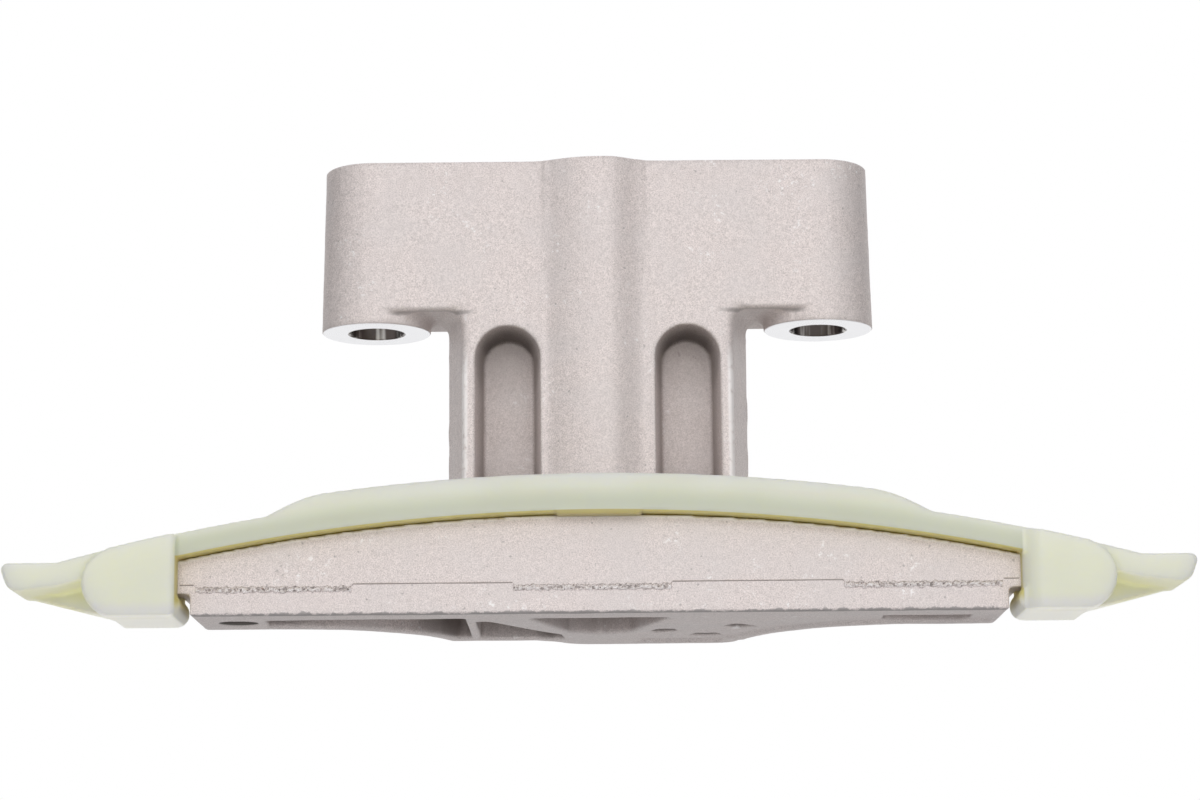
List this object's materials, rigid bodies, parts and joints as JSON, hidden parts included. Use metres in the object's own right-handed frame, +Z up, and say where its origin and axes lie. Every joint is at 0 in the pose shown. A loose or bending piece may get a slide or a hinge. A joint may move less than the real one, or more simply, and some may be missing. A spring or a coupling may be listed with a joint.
{
  "type": "timing chain guide",
  "caption": "Cast bracket with bolt bosses, a stem and an arched foot, carrying a moulded slider shoe that a timing chain runs on.",
  "frame": {"origin": "on the flat mounting face, midway between the two bolt bores", "axes": "+X along the chain's run and the line of the bolts, +Y from the chain side to the back, +Z up, out of the mounting face"},
  "size_m": [0.173, 0.0468, 0.0754],
  "materials": {
    "cast_aluminium": "shot-blasted die casting, matt and grainy",
    "slider_nylon": "pale green-cream moulded nylon, slightly translucent"
  },
  "bodies": {
    "root": {"bracket": "cast_aluminium", "slider": "slider_nylon"}
  },
  "joints": []
}
